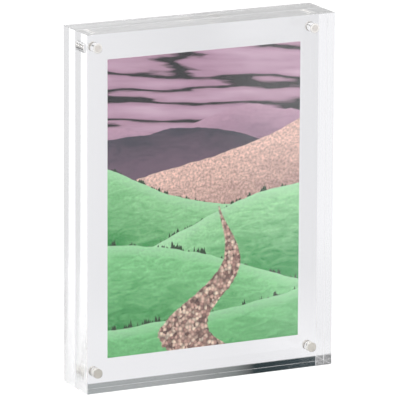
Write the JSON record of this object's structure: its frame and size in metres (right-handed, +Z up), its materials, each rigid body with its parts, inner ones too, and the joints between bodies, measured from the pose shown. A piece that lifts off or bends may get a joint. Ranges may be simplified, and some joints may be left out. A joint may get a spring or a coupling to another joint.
{
  "type": "acrylic block frame",
  "caption": "Free-standing magnetic block frame: clear acrylic blocks pulled together by small magnets hold an upright photo print between them.",
  "frame": {"origin": "on the ground, under the middle of the print, halfway between the two blocks", "axes": "-Y faces the viewer, +X to the viewer's right along the width, +Z up"},
  "size_m": [0.114, 0.0232, 0.152],
  "materials": {
    "acrylic": "clear cast acrylic, every face and bevel polished",
    "nickel_plate": "bright nickel plate",
    "adhesive": "cured clear adhesive, slightly cloudy",
    "photo_paper": "glossy photo paper, printed on the front, white on the back"
  },
  "bodies": {
    "back": {"back_block": "acrylic", "magnet_back_top_left": "nickel_plate", "magnet_back_top_right": "nickel_plate", "magnet_back_bottom_left": "nickel_plate", "magnet_back_bottom_right": "nickel_plate", "adhesive_back_top_left": "adhesive", "adhesive_back_top_right": "adhesive", "adhesive_back_bottom_left": "adhesive", "adhesive_back_bottom_right": "adhesive"},
    "front": {"front_block": "acrylic", "magnet_front_top_left": "nickel_plate", "magnet_front_top_right": "nickel_plate", "magnet_front_bottom_left": "nickel_plate", "magnet_front_bottom_right": "nickel_plate", "adhesive_front_top_left": "adhesive", "adhesive_front_top_right": "adhesive", "adhesive_front_bottom_left": "adhesive", "adhesive_front_bottom_right": "adhesive"},
    "print": {"photo_print": "photo_paper"}
  },
  "joints": [
    {"name": "front_pull_off", "type": "slide", "parent": "back", "child": "front", "axis": [0, -1, 0], "range_m": [0, 0.08]},
    {"name": "print_slide_out", "type": "slide", "parent": "back", "child": "print", "axis": [0, 0, 1], "range_m": [0, 0.145]}
  ]
}
